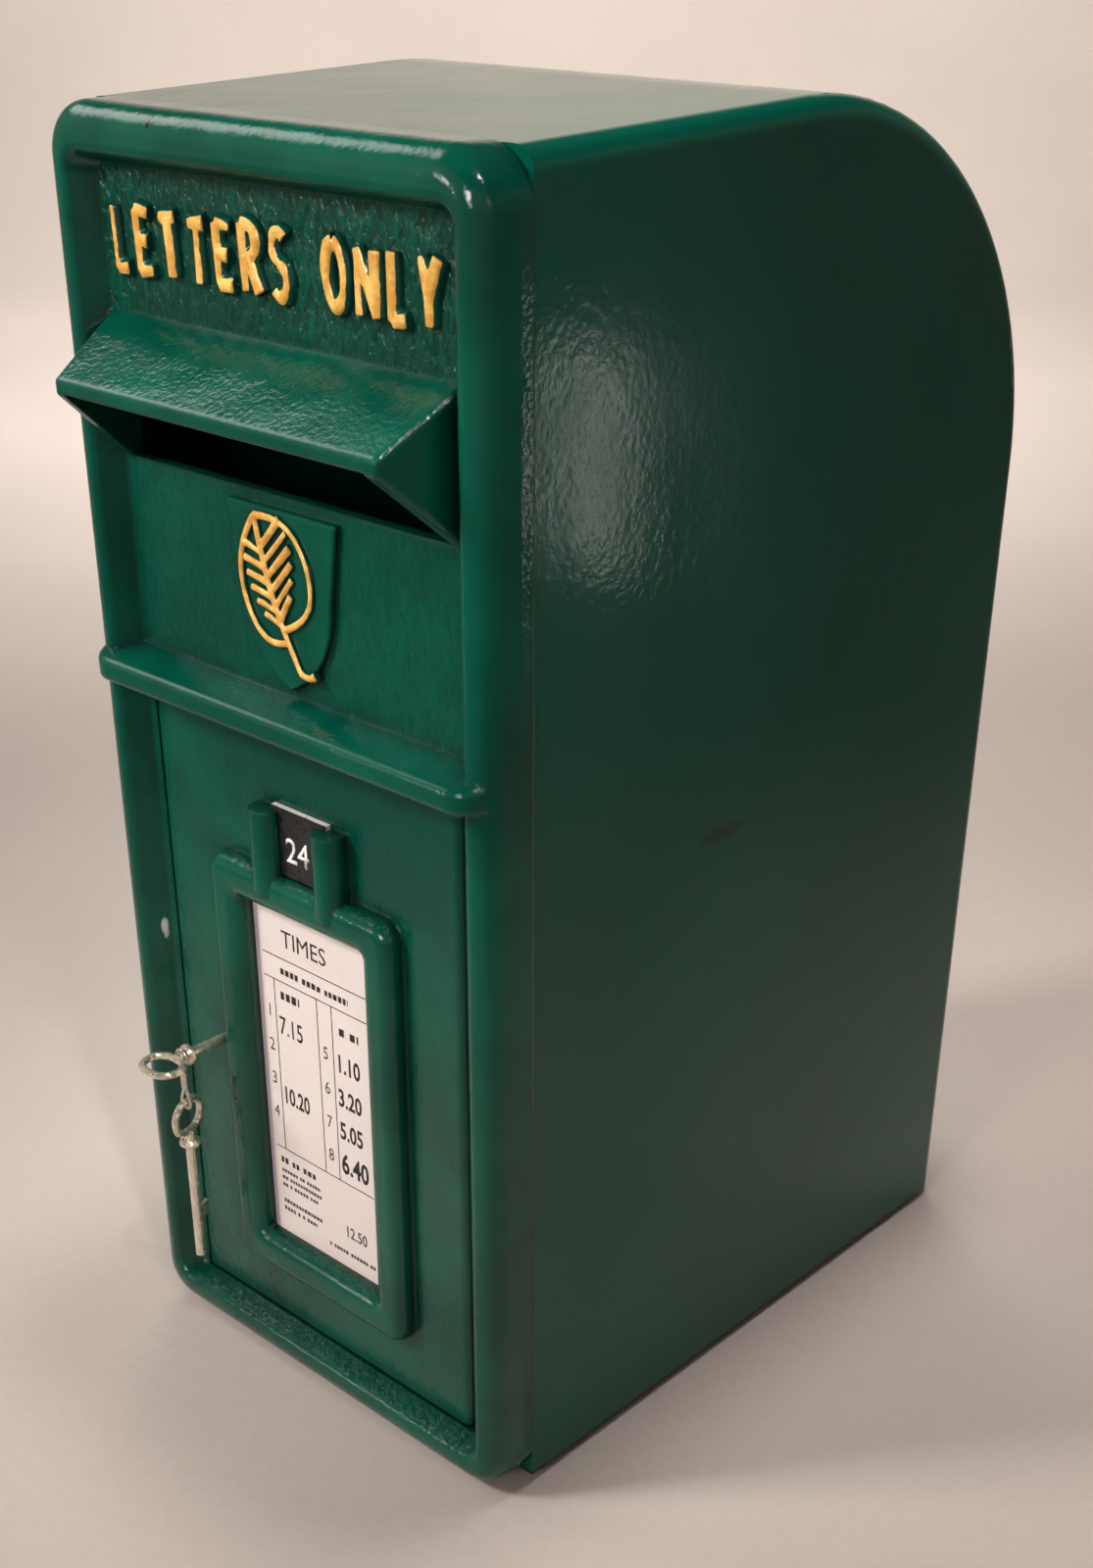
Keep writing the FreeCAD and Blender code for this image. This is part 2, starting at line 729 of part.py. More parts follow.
def body_form(inset, front):
    """Solid of the body's outline, drawn in by an inset: top rising to a round upper back, upright back."""
    x = half - body_inset - inset
    back = depth - inset
    bottom = body_lift + inset
    radius = back_radius - inset
    centre_y = depth - back_radius
    front_top = height - body_inset
    centre_z = front_top + body_crown - back_radius
    run = centre_y - flange_depth
    drop = centre_z - front_top
    slope = math.atan2(drop, run) + math.asin(back_radius / math.hypot(run, drop))
    touch = Vector(-x, centre_y - radius * math.sin(slope), centre_z + radius * math.cos(slope))
    crest = Vector(-x, front, touch.z - math.tan(slope) * (touch.y - front))
    middle = math.radians(45) - slope / 2
    shoulder = Vector(-x, centre_y + radius * math.sin(middle), centre_z + radius * math.cos(middle))
    edges = [
        Part.makeLine(Vector(-x, front, bottom), Vector(-x, back, bottom)),
        Part.makeLine(Vector(-x, back, bottom), Vector(-x, back, centre_z)),
        Part.Arc(Vector(-x, back, centre_z), shoulder, touch).toShape(),
        Part.makeLine(touch, crest),
        Part.makeLine(crest, Vector(-x, front, bottom)),
    ]
    solid = Part.Face(Part.Wire(edges)).extrude(Vector(2 * x, 0, 0))
    wrap = [edge for edge in solid.Edges if edge.BoundBox.XLength < flush
            and edge.CenterOfMass.y > front + overrun and edge.CenterOfMass.z > bottom + overrun]
    return solid.makeFillet(body_edge_round - inset, wrap)


def body_shell():
    outer = body_form(0, flange_depth)
    inner = body_form(sheet, flange_depth - overrun)
    edge_x = half - body_inset - front_return
    way = block(-edge_x, edge_x, flange_depth - overrun, flange_depth + sheet + overrun,
                body_lift + front_return, height - body_inset - front_return)
    front_face = outer.common(block(-half, half, flange_depth, flange_depth + sheet, 0, height)).cut(way)
    shell = outer.cut(inner).fuse(front_face)
    holes = [rod_y(x, z, flange_depth - overrun, flange_depth + sheet + overrun, body_screw_radius + screw_clearance)
             for x, z in boss_places()]
    for side in (-1, 1):
        for level in (wall_hole_low, wall_hole_high):
            holes.append(rod_y(side * wall_hole_x, level, depth - sheet - overrun, depth + overrun, wall_hole_radius))
    return shell.cut(holes).removeSplitter()


def body_screws():
    seat = flange_depth + sheet
    start = flange_depth - body_screw_grip
    return Part.makeCompound([screw(x, z, start, seat, body_screw_radius, body_screw_head, body_screw_head_height)
                              for x, z in boss_places()])


def foot(x, y):
    """Rubber foot: a low cone with its wide face against the body."""
    return Part.makeCone(foot_radius - foot_taper, foot_radius, foot_gap + body_lift, Vector(x, y, -foot_gap))


def all_pieces():
    upper_lug = opening_top + lug_gap
    lower_lug = opening_bottom - lug_gap - lug_length
    pieces = {
        "front_casting": front_casting(),
        "body_shell": body_shell(),
        "body_screws": body_screws(),
        "door": door(),
        "upper_hinge_pin": hinge_pin(upper_lug, door_top - knuckle_length),
        "lower_hinge_pin": hinge_pin(lower_lug, door_bottom),
        "notice_card": notice_card(),
        "backing_board": backing_board(),
        "board_clips": board_clips(),
        "clip_screws": clip_screws(),
        "number_tab": number_tab(),
        "lock_cap": lock_cap(),
        "lock_case": lock_case(),
        "lock_bolt": lock_bolt(),
        "lock_lever": lock_lever(),
        "lever_spring": lever_spring(),
        "lock_screws": lock_screws(),
        "key": key(),
        "key_link": key_link(),
        "spare_key": spare_key(),
    }
    for side_name, side in (("left", -1), ("right", 1)):
        x = side * (half - foot_inset_x)
        pieces["foot_front_" + side_name] = foot(x, flange_depth + foot_inset_front)
        pieces["foot_back_" + side_name] = foot(x, depth - foot_inset_back)
    return pieces


os.makedirs("parts", exist_ok=True)
for name, shape in all_pieces().items():
    shape.translate(Vector(0, -origin_y, foot_gap))
    shape.exportStep(os.path.join("parts", name + ".step"))
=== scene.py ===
"""Dressed letter box: enamel, gilding, printed notice, keys and a plain studio around the CAD frame."""
import math
import random

import bmesh
import bpy
from mathutils import Matrix, Vector


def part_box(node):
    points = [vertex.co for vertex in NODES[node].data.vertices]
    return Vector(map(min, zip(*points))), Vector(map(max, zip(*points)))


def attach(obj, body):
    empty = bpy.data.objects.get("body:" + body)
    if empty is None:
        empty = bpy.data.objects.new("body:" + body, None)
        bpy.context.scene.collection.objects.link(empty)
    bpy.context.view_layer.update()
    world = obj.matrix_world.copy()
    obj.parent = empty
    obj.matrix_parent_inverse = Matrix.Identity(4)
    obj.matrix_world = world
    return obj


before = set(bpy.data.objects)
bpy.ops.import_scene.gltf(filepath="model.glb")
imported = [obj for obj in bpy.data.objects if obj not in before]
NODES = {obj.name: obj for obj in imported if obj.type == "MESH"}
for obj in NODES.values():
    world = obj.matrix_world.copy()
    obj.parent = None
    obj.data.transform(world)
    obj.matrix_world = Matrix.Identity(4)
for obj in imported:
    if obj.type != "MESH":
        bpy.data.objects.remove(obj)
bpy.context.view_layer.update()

MM = 0.001
WORD_SEED, QUILL_SEED, PRINT_SEED = 7, 11, 5

# Planes and sizes on the casting, in millimetres from its zero: the middle of its width, the front plane of
# its rim and the underside of its rim. The hood reaches out from the rim's plane.
HOOD_REACH = 25.0
PANEL_Y = 12.0
PLAQUE_Y = 9.0
DOOR_HIGH = 345.0
HOOD_HIGH = 505.0
CARD_Y = 12.8
CARD_HALF = 40.5
TAB_Y = 8.75

casting_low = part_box("front_casting")[0]
CAST_ZERO = Vector((0, casting_low.y + HOOD_REACH * MM, casting_low.z))

# Camera: place in the frame, turns in radians, and the photograph's frame of 1115 x 1600.
CAMERA_AT = Vector((0.6191, -0.66155, 0.6552))
CAMERA_YAW, CAMERA_PITCH, CAMERA_ROLL = 0.7243, 0.5138, 0.0177
FRAME_HEIGHT, FOCAL_PIXELS = 1600, 2029.37
SENSOR = 36.0
SHIFT_PIXELS = (-45.6, 248.5)
CLIP_START = 0.01


def place(x, y, z):
    """A point given in millimetres from the casting's zero, in the frame."""
    return CAST_ZERO + Vector((x, y, z)) * MM


def add_object(name, data):
    """A new object in the scene for a mesh, curve, light or camera."""
    made = bpy.data.objects.new(name, data)
    bpy.context.collection.objects.link(made)
    return made


# Node helpers

# The range that most of a noise lies in, and the edge of a ragged spot: how much noise it takes in and where
# it fades out.
USUAL_NOISE = (0.3, 0.7)
SPOT_RAGGED = 1.6
SPOT_EDGE = (0.9, 1.7)

# How open a corner is where the painted shade is thickest and where it ends, and the rays that feel for
# corners and edges.
CORNER_OPEN = (0.45, 0.95)
EDGE_RAYS = 4


class Shader:
    """One material's node tree, with short calls to add and link nodes."""

    def __init__(self, name):
        self.material = bpy.data.materials.new(name)
        self.material.use_nodes = True
        self.tree = self.material.node_tree
        self.bsdf = self.tree.nodes["Principled BSDF"]
        self.position = self.node("ShaderNodeTexCoord").outputs["Object"]

    def node(self, kind, **settings):
        made = self.tree.nodes.new(kind)
        for key, value in settings.items():
            setattr(made, key, value)
        return made

    def link(self, source, target):
        self.tree.links.new(source, target)

    def fill(self, socket, value):
        """Links a node's output to a socket, or sets the socket to a number or a colour."""
        if isinstance(value, bpy.types.NodeSocket):
            self.link(value, socket)
        elif isinstance(value, tuple):
            socket.default_value = (*value, 1.0)
        else:
            socket.default_value = value

    def set(self, **sockets):
        """Fills the surface's sockets by name, with _ in place of a space."""
        for name, value in sockets.items():
            self.fill(self.bsdf.inputs[name.replace("_", " ")], value)

    def stretched(self, scale):
        """The position with each axis scaled, for grain that runs one way."""
        mapping = self.node("ShaderNodeMapping")
        self.link(self.position, mapping.inputs["Vector"])
        mapping.inputs["Scale"].default_value = scale
        return mapping.outputs["Vector"]

    def noise(self, scale, detail=2.0, roughness=0.5, stretch=None, distortion=0.0):
        """Noise with so many swells to the metre."""
        made = self.node("ShaderNodeTexNoise")
        self.link(self.stretched(stretch) if stretch else self.position, made.inputs["Vector"])
        made.inputs["Scale"].default_value = scale
        made.inputs["Detail"].default_value = detail
        made.inputs["Roughness"].default_value = roughness
        made.inputs["Distortion"].default_value = distortion
        return made.outputs["Fac"]

    def remap(self, value, low, high, to_low=0.0, to_high=1.0):
        """A smooth step from one number to another while a value goes from low to high."""
        made = self.node("ShaderNodeMapRange", interpolation_type="SMOOTHSTEP")
        self.link(value, made.inputs["Value"])
        numbers = {"From Min": low, "From Max": high, "To Min": to_low, "To Max": to_high}
        for name, number in numbers.items():
            made.inputs[name].default_value = number
        return made.outputs["Result"]

    def usual(self, noise, to_low=0.0, to_high=1.0):
        """A smooth step over the range that most of a noise lies in."""
        return self.remap(noise, *USUAL_NOISE, to_low, to_high)

    def math(self, operation, a, b, c=0.0):
        made = self.node("ShaderNodeMath", operation=operation)
        for socket, value in zip(made.inputs, (a, b, c)):
            self.fill(socket, value)
        return made.outputs["Value"]

    def part_of(self, vector, letter):
        made = self.node("ShaderNodeSeparateXYZ")
        self.link(vector, made.inputs["Vector"])
        return made.outputs[letter]

    def axis(self, letter):
        """A point's place along one axis of the frame, in metres."""
        return self.part_of(self.position, letter)

    def facing(self, letter):
        """How far the surface faces along one axis, from -1 to 1."""
        return self.part_of(self.node("ShaderNodeNewGeometry").outputs["Normal"], letter)

    def band(self, value, low, high, soft):
        """1 between two numbers and 0 outside them."""
        rise = self.remap(value, low - soft, low + soft)
        fall = self.remap(value, high - soft, high + soft, 1.0, 0.0)
        return self.math("MULTIPLY", rise, fall)

    def spot(self, across, up, centre, half):
        """1 inside a ragged oval given by its centre and half sizes in metres on two axes, 0 outside."""
        side = self.math("DIVIDE", self.math("SUBTRACT", self.axis(across), centre[0]), half[0])
        rise = self.math("DIVIDE", self.math("SUBTRACT", self.axis(up), centre[1]), half[1])
        reach = self.math("MULTIPLY_ADD", side, side, self.math("MULTIPLY", rise, rise))
        ragged = self.noise(260.0, detail=4.0, roughness=0.65)
        return self.remap(self.math("MULTIPLY_ADD", ragged, SPOT_RAGGED, reach), *SPOT_EDGE, 1.0, 0.0)

    def mix(self, factor, first, second):
        made = self.node("ShaderNodeMix", data_type="RGBA")
        self.fill(made.inputs["Factor"], factor)
        sockets = [socket for socket in made.inputs if socket.type == "RGBA"]
        for socket, value in zip(sockets, (first, second)):
            self.fill(socket, value)
        return next(socket for socket in made.outputs if socket.type == "RGBA")

    def bump(self, height, depth, strength, below=None):
        """Normal of a relief of some depth in millimetres, laid over another normal."""
        made = self.node("ShaderNodeBump")
        made.inputs["Distance"].default_value = depth * MM
        self.fill(made.inputs["Strength"], strength)
        self.link(height, made.inputs["Height"])
        if below is not None:
            self.link(below, made.inputs["Normal"])
        return made.outputs["Normal"]

    def rounded(self, radius):
        """Normal of edges worn or painted to a radius in millimetres."""
        made = self.node("ShaderNodeBevel", samples=EDGE_RAYS)
        made.inputs["Radius"].default_value = radius * MM
        return made.outputs["Normal"]

    def crevice(self, reach):
        """Painted shade from ambient occlusion: 1 deep in corners, 0 out in the open, with a reach in
        millimetres.
        """
        made = self.node("ShaderNodeAmbientOcclusion", samples=EDGE_RAYS)
        made.inputs["Distance"].default_value = reach * MM
        return self.remap(made.outputs["AO"], *CORNER_OPEN, 1.0, 0.0)


# Materials

# Colours in linear light. A pair is the darker and the lighter tone of one uneven surface.
GREEN_DEEP = (0.0006, 0.046, 0.029)
# Painted shade for the stipple's hollows and the recessed panels.
PIT_SHADE_GREEN = (0.0004, 0.026, 0.016)
CASTING_GREEN = (GREEN_DEEP, (0.0010, 0.072, 0.044))
BODY_GREEN = ((0.0005, 0.066, 0.042), (0.0008, 0.085, 0.055))
# Painted shade that darkens the casting's corners.
CORNER_SHADE = (0.0010, 0.010, 0.007)
# Painted shadow along the body's foot, for the gap under it.
FOOT_GAP_SHADOW = (0.004, 0.004, 0.004)
SCUFFED_GREEN = (0.002, 0.010, 0.008)
# Painted highlight: a pale spot for a glint on the casting's left rim.
RIM_GLINT_PALE = (0.42, 0.44, 0.44)
DARK_NICK = (0.004, 0.010, 0.008)
GILT = ((0.60, 0.29, 0.05), (0.86, 0.50, 0.13))
PAPER = ((0.685, 0.595, 0.565), (0.715, 0.625, 0.595))
PAPER_STAIN = (0.60, 0.50, 0.48)
CARD_STRIP = (0.36, 0.27, 0.40)
INK = ((0.012, 0.010, 0.012), (0.07, 0.06, 0.06))
TAB_SKIN = ((0.011, 0.011, 0.012), (0.028, 0.027, 0.028))
TAB_CORE = ((0.62, 0.60, 0.57), (0.74, 0.72, 0.70))
ENGRAVING = ((0.60, 0.58, 0.56), (0.76, 0.74, 0.72))
BOARD = ((0.075, 0.042, 0.022), (0.16, 0.095, 0.05))
RUBBER = ((0.010, 0.010, 0.010), (0.028, 0.027, 0.026))
FLOOR = ((0.50, 0.435, 0.40), (0.54, 0.47, 0.432))
FLOOR_SPECK = (0.45, 0.39, 0.355)
WALL_GREY = (0.16, 0.14, 0.13)

# Metals: darker and lighter tone, roughness, how metallic they are and how strong their grain is.
METALS = {
    "zinc_steel": ((0.36, 0.36, 0.35), (0.55, 0.55, 0.53), 0.34, 1.0, 0.3),
    "bright_steel": ((0.42, 0.42, 0.41), (0.58, 0.57, 0.56), 0.28, 1.0, 0.3),
    "lock_steel": ((0.20, 0.20, 0.20), (0.34, 0.34, 0.33), 0.42, 1.0, 0.3),
    "lock_brass": ((0.40, 0.27, 0.09), (0.58, 0.41, 0.16), 0.35, 1.0, 0.3),
    "nickel": ((0.70, 0.62, 0.49), (0.84, 0.77, 0.64), 0.24, 0.80, 0.04),
    "tie_wire": ((0.62, 0.57, 0.48), (0.78, 0.73, 0.64), 0.24, 0.80, 0.04),
}

# How strongly the paint is stippled on the door, round the plaque, behind the word and on the low ledges,
# the height that those ledges lie below, and how softly each changes into the next, to each side.
# The same strengths set how much painted shade the stipple's hollows get.
STIPPLE_DOOR, STIPPLE_PLAQUE, STIPPLE_WORD, STIPPLE_LEDGE = 0.16, 0.42, 1.0, 0.7
LEDGES_HIGH = DOOR_HIGH - 25.0
DOOR_SOFT, HOOD_SOFT, LEDGES_SOFT = 6.0, 8.0, 20.0

# How far off the panel's plane a point still counts as on it, how softly that ends, and the part of a normal
# along Y or Z at which a face starts and ends counting as one that faces the front or up.
PANEL_SLACK, PANEL_SOFT = 0.9, 0.5
FRONT_FACING = (-0.95, -0.75)
UP_FACING = (0.5, 0.9)

# Roughness of the glossy enamel, and what stippling or a scuff adds to it.
CASTING_POLISH, STIPPLE_DULLS = (0.08, 0.15), 0.05
BODY_POLISH, SCUFF_DULLS = (0.10, 0.18), 0.20

# Radius of a painted edge, how far out of a corner the painted shade reaches, and how thickly it covers
# the paint there.
PAINTED_EDGE = 2.0
CREVICE = 11.0
CORNER_SHADE_COVER = 0.85

# Marks on the casting: a pale painted highlight for a glint on the left rim, and a dark nick in the top
# rim. Middle across and up, half width, half height and colour.
CASTING_NICK_AND_GLINT = (
    (-104.8, 219.0, 1.3, 7.0, RIM_GLINT_PALE),
    (-54.0, 578.5, 1.8, 3.8, DARK_NICK),
)

# The scuff on the body's right side, along Y and Z of the frame in metres, and the painted shadow of the
# gap under the body along its foot, in millimetres, with how thickly each covers the paint.
SCUFF_MIDDLE = (-0.017, 0.298)
SCUFF_HALF = (0.020, 0.0050)
SCUFF_COVER = 0.6
FOOT_HIGH = 1.5
FOOT_WANDER = 2.0
FOOT_SHADOW_COVER = 0.92

# How far the gilding's edge wanders, as a share of its depth, and how softly it ends.
GILT_WANDER = 0.9
GILT_SOFT = 0.10

# The lilac strip down the card's left edge: its width, how softly it ends and how strong its colour is.
STRIP_WIDE, STRIP_SOFT, STRIP_COVER = 2.4, 0.25, 0.6

# Depth at which the tab's skin gives way to its core, and the heights between which the wall turns grey.
SKIN_DEPTH = (0.25, 0.4)
WALL_FADE = (2.0, 3.2)


def panel_stipple(shader):
    """How strongly a point is stippled: most behind the word, less round the plaque, least on the door.

    The upward faces low down, where the brush dragged, are stippled too.
    """
    def step(level, soft, below, above):
        return shader.remap(shader.axis("Z"), place(0, 0, level - soft).z, place(0, 0, level + soft).z,
                            below, above)

    low, high = (place(0, PANEL_Y + slack, 0).y for slack in (-PANEL_SLACK, PANEL_SLACK))
    flat = shader.band(shader.axis("Y"), low, high, PANEL_SOFT * MM)
    front = shader.remap(shader.facing("Y"), *FRONT_FACING, 1.0, 0.0)
    above_door = step(DOOR_HIGH, DOOR_SOFT, STIPPLE_DOOR, STIPPLE_PLAQUE)
    above_hood = step(HOOD_HIGH, HOOD_SOFT, 0.0, STIPPLE_WORD - STIPPLE_PLAQUE)
    panel = shader.math("ADD", above_door, above_hood)
    upward = shader.remap(shader.facing("Z"), *UP_FACING)
    ledges = shader.math("MULTIPLY", upward, step(LEDGES_HIGH, LEDGES_SOFT, STIPPLE_LEDGE, 0.0))
    return shader.math("MULTIPLY_ADD", shader.math("MULTIPLY", flat, front), panel, ledges)


def cast_relief(shader, stipple, dabs):
    """Normal of thick paint over a sand casting: orange peel all over, upright dabs where it is stippled."""
    swell = shader.noise(34.0, detail=1.0, roughness=0.4)
    grain = shader.noise(150.0, stretch=(1.0, 1.0, 0.5), distortion=0.5)
    peel = shader.noise(430.0)
    wide = shader.bump(swell, depth=2.0, strength=0.30, below=shader.rounded(PAINTED_EDGE))
    coarse = shader.remap(stipple, 0.0, 1.0, 0.10, 0.80)
    middle = shader.bump(grain, depth=1.2, strength=coarse, below=wide)
    rough = shader.bump(dabs, depth=1.1, strength=stipple, below=middle)
    return shader.bump(peel, depth=0.30, strength=0.50, below=rough)


def casting_enamel():
    """Thick green enamel: dabs, painted shade in hollows and corners, a painted highlight and a nick."""
    shader = Shader("casting_enamel")
    stipple = panel_stipple(shader)
    dabs = shader.noise(330.0, detail=3.0, roughness=0.6, stretch=(1.0, 1.0, 0.42), distortion=0.8)
    tone = shader.noise(16.0, detail=3.0, roughness=0.55)
    paint = shader.mix(shader.remap(tone, 0.35, 0.7), *CASTING_GREEN)
    # Painted shade: the stipple's hollows darkened, most on the recessed panel behind the word.
    pit_shade = shader.math("MULTIPLY", stipple, shader.remap(dabs, 0.35, 0.62, 0.95, 0.15))
    paint = shader.mix(pit_shade, paint, PIT_SHADE_GREEN)
    # Painted shade: corners darkened by ambient occlusion.
    paint = shader.mix(shader.math("MULTIPLY", shader.crevice(CREVICE), CORNER_SHADE_COVER), paint, CORNER_SHADE)
    # A pale painted highlight on the left rim and a dark nick in the top rim.
    for x, z, half_width, half_height, colour in CASTING_NICK_AND_GLINT:
        centre = place(x, 0, z)
        nick_and_glint = shader.spot("X", "Z", (centre.x, centre.z), (half_width * MM, half_height * MM))
        paint = shader.mix(nick_and_glint, paint, colour)
    polish = shader.usual(shader.noise(60.0), *CASTING_POLISH)
    dulled = shader.math("MULTIPLY_ADD", stipple, STIPPLE_DULLS, polish)
    shader.set(Base_Color=paint, Roughness=dulled, Normal=cast_relief(shader, stipple, dabs), IOR=1.43)
    return shader.material


def body_enamel():
    """Smoother green enamel on the sheet body, with one scuff and a painted shadow along its foot."""
    shader = Shader("body_enamel")
    tone = shader.noise(5.0, detail=3.0)
    paint = shader.mix(shader.remap(tone, 0.3, 0.75), *BODY_GREEN)
    right_half = shader.math("GREATER_THAN", shader.axis("X"), 0.0)
    outside = shader.math("MULTIPLY", right_half, shader.math("GREATER_THAN", shader.facing("X"), 0.5))
    scuff = shader.math("MULTIPLY", outside, shader.spot("Y", "Z", SCUFF_MIDDLE, SCUFF_HALF))
    paint = shader.mix(shader.math("MULTIPLY", scuff, SCUFF_COVER), paint, SCUFFED_GREEN)
    # Painted shadow: the lowest band of the body darkened, for the gap under it.
    ragged = shader.noise(90.0, detail=3.0, roughness=0.6)
    foot = shader.math("MULTIPLY_ADD", ragged, FOOT_WANDER * MM, place(0, 0, FOOT_HIGH).z)
    foot_shadow = shader.math("LESS_THAN", shader.axis("Z"), foot)
    paint = shader.mix(shader.math("MULTIPLY", foot_shadow, FOOT_SHADOW_COVER), paint, FOOT_GAP_SHADOW)
    waves = shader.noise(7.0, detail=1.0, roughness=0.4)
    dimples = shader.noise(90.0)
    peel = shader.noise(300.0)
    wide = shader.bump(waves, depth=6.0, strength=0.22)
    middle = shader.bump(dimples, depth=0.5, strength=0.16, below=wide)
    relief = shader.bump(peel, depth=0.25, strength=0.30, below=middle)
    gloss = shader.noise(11.0, detail=4.0, roughness=0.6)
    polish = shader.remap(gloss, 0.3, 0.75, *BODY_POLISH)
    dulled = shader.math("MULTIPLY_ADD", scuff, SCUFF_DULLS, polish)
    shader.set(Base_Color=paint, Roughness=dulled, Normal=relief, IOR=1.42)
    return shader.material


def gilt_relief(name, face_y, edge):
    """Enamelled relief whose crest is gilded by hand, down to an uneven edge behind its face."""
    shader = Shader(name)
    wander = shader.math("SUBTRACT", shader.noise(260.0), 0.5)
    edge_y = shader.math("MULTIPLY_ADD", wander, GILT_WANDER * edge * MM, place(0, face_y + edge, 0).y)
    depth = shader.math("SUBTRACT", shader.axis("Y"), edge_y)
    gilded = shader.remap(depth, -GILT_SOFT * MM, GILT_SOFT * MM, 1.0, 0.0)
    tint = shader.noise(190.0, detail=3.0, roughness=0.6)
    paint = shader.mix(shader.remap(tint, 0.35, 0.68), *GILT)
    swell = shader.bump(shader.noise(120.0), depth=0.8, strength=0.5)
    relief = shader.bump(shader.noise(420.0), depth=0.25, strength=0.4, below=swell)
    shader.set(Base_Color=shader.mix(gilded, GREEN_DEEP, paint), Normal=relief,
               Roughness=shader.remap(gilded, 0.0, 1.0, 0.18, 0.34),
               Metallic=shader.math("MULTIPLY", gilded, 0.12), Coat_Weight=0.2, Coat_Roughness=0.15)
    return shader.material


def metal(name):
    """Stained metal with a fine grain."""
    dark, light, roughness, metallic, grain = METALS[name]
    shader = Shader(name)
    stain = shader.noise(160.0, detail=3.0)
    shader.set(Base_Color=shader.mix(shader.remap(stain, 0.3, 0.75), dark, light),
               Roughness=shader.usual(stain, roughness * 0.8, roughness * 1.25),
               Metallic=metallic, Normal=shader.bump(shader.noise(900.0), depth=0.05, strength=grain))
    return shader.material


def card_paper():
    """Printed card gone cloudy, with a strip of lilac colour down its left edge."""
    shader = Shader("card")
    fibre = shader.noise(700.0, detail=3.0, roughness=0.6)
    cloud = shader.noise(14.0)
    paper = shader.mix(shader.usual(fibre), *PAPER)
    paper = shader.mix(shader.remap(cloud, 0.3, 0.75, 0.0, 0.35), paper, PAPER_STAIN)
    strip = shader.band(shader.axis("X"), -CARD_HALF * MM, (-CARD_HALF + STRIP_WIDE) * MM, STRIP_SOFT * MM)
    shader.set(Base_Color=shader.mix(shader.math("MULTIPLY", strip, STRIP_COVER), paper, CARD_STRIP),
               Roughness=shader.usual(cloud, 0.42, 0.58),
               Normal=shader.bump(fibre, depth=0.05, strength=0.3))
    return shader.material


def printing_ink():
    shader = Shader("printing_ink")
    wear = shader.noise(900.0, detail=3.0, roughness=0.6)
    shader.set(Base_Color=shader.mix(shader.remap(wear, 0.45, 0.8), *INK),
               Roughness=shader.usual(wear, 0.4, 0.6))
    return shader.material


def laminate():
    """Black skin on a white core that shows on the cut edges."""
    shader = Shader("laminate")
    scuff = shader.noise(380.0, detail=3.0, roughness=0.6)
    skin = shader.mix(shader.remap(scuff, 0.4, 0.75), *TAB_SKIN)
    core = shader.mix(shader.remap(scuff, 0.35, 0.7), *TAB_CORE)
    behind = shader.remap(shader.axis("Y"), *(place(0, TAB_Y + depth, 0).y for depth in SKIN_DEPTH))
    shader.set(Base_Color=shader.mix(behind, skin, core), Roughness=shader.usual(scuff, 0.25, 0.42),
               Normal=shader.bump(scuff, depth=0.04, strength=0.3))
    return shader.material


def engraved_white():
    shader = Shader("engraved_white")
    cut = shader.noise(800.0)
    shader.set(Base_Color=shader.mix(shader.usual(cut), *ENGRAVING), Roughness=shader.usual(cut, 0.45, 0.65))
    return shader.material


def hardboard():
    shader = Shader("hardboard")
    fibre = shader.noise(240.0, detail=4.0, roughness=0.65, stretch=(1.0, 1.0, 0.6))
    shader.set(Base_Color=shader.mix(shader.usual(fibre), *BOARD), Roughness=shader.usual(fibre, 0.5, 0.75),
               Normal=shader.bump(fibre, depth=0.15, strength=0.4))
    return shader.material


def rubber():
    shader = Shader("rubber")
    bloom = shader.noise(300.0, detail=3.0, roughness=0.6)
    shader.set(Base_Color=shader.mix(shader.remap(bloom, 0.35, 0.75), *RUBBER),
               Roughness=shader.usual(bloom, 0.6, 0.8), Normal=shader.bump(bloom, depth=0.1, strength=0.4))
    return shader.material


def floor_paint():
    """Pale matt paint, deepening to grey up the wall above the part."""
    shader = Shader("pale_floor")
    cloud = shader.noise(1.6, detail=4.0, roughness=0.55)
    speck = shader.noise(160.0)
    pale = shader.mix(shader.usual(cloud), *FLOOR)
    pale = shader.mix(shader.remap(speck, 0.3, 0.75, 0.0, 0.25), pale, FLOOR_SPECK)
    shader.set(Base_Color=shader.mix(shader.remap(shader.axis("Z"), *WALL_FADE), pale, WALL_GREY),
               Roughness=shader.usual(cloud, 0.5, 0.62), Normal=shader.bump(speck, depth=0.3, strength=0.15))
    return shader.material


def dress_nodes():
    """Gives every CAD node its finish."""
    wearing = {
        casting_enamel(): ("front_casting", "door"),
        body_enamel(): ("body_shell",),
        metal("zinc_steel"): ("body_screws", "clip_screws", "lock_screws", "board_clips"),
        metal("bright_steel"): ("upper_hinge_pin", "lower_hinge_pin", "lever_spring"),
        metal("lock_steel"): ("lock_cap", "lock_case"),
        metal("lock_brass"): ("lock_bolt", "lock_lever"),
        metal("nickel"): ("key", "spare_key"),
        metal("tie_wire"): ("key_link",),
        card_paper(): ("notice_card",),
        hardboard(): ("backing_board",),
        laminate(): ("number_tab",),
        rubber(): ("foot_front_left", "foot_front_right", "foot_back_left", "foot_back_right"),
    }
    for material, names in wearing.items():
        for name in names:
            mesh = NODES[name].data
            mesh.materials.clear()
            mesh.materials.append(material)


def finish_piece(piece, body, material):
    """Gives a new piece its material, and the body that it belongs to."""
    piece.data.materials.clear()
    piece.data.materials.append(material)
    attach(piece, body)


# Raised lettering and the plaque's ornament

def arc_points(cx, cz, rx, rz, start, end, count):
    """Points on an ellipse between two angles in degrees."""
    turns = [math.radians(start + (end - start) * i / (count - 1)) for i in range(count)]
    return [(cx + rx * math.cos(t), cz + rz * math.sin(t)) for t in turns]


